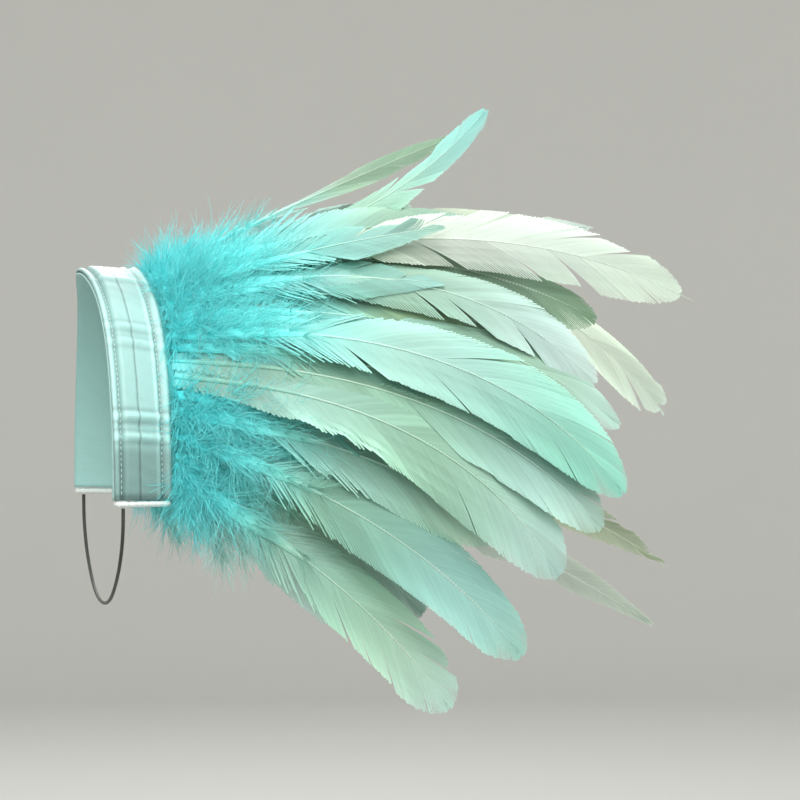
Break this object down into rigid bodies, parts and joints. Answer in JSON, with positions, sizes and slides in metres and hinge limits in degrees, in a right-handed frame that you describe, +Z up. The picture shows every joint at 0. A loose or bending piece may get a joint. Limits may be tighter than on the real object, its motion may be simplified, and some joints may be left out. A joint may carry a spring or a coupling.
{
  "type": "feather epaulette",
  "caption": "Feather shoulder piece: an arched satin ribbon band with a fringe of dyed feathers and down along its outer edge and a thin elastic under the arm.",
  "frame": {"origin": "on the inside of the band at the top of its arch, where it sits on the shoulder", "axes": "+Z up, -Y towards the wearer's front, +X outwards along the shoulder, the way the feathers reach"},
  "size_m": [0.2292, 0.1537, 0.2039],
  "materials": {
    "satin_ribbon": "pale aqua satin",
    "lining_ribbon": "pale aqua ribbon",
    "white_hem": "white rolled cloth",
    "dyed_feather": "feather dyed turquoise to mint",
    "dark_elastic": "thin dark elastic"
  },
  "bodies": {
    "root": {"ribbon_face": "satin_ribbon", "ribbon_backing": "lining_ribbon", "front_end_hem": "white_hem", "back_end_hem": "white_hem", "feather_fringe": "dyed_feather", "underarm_elastic": "dark_elastic"}
  },
  "joints": []
}
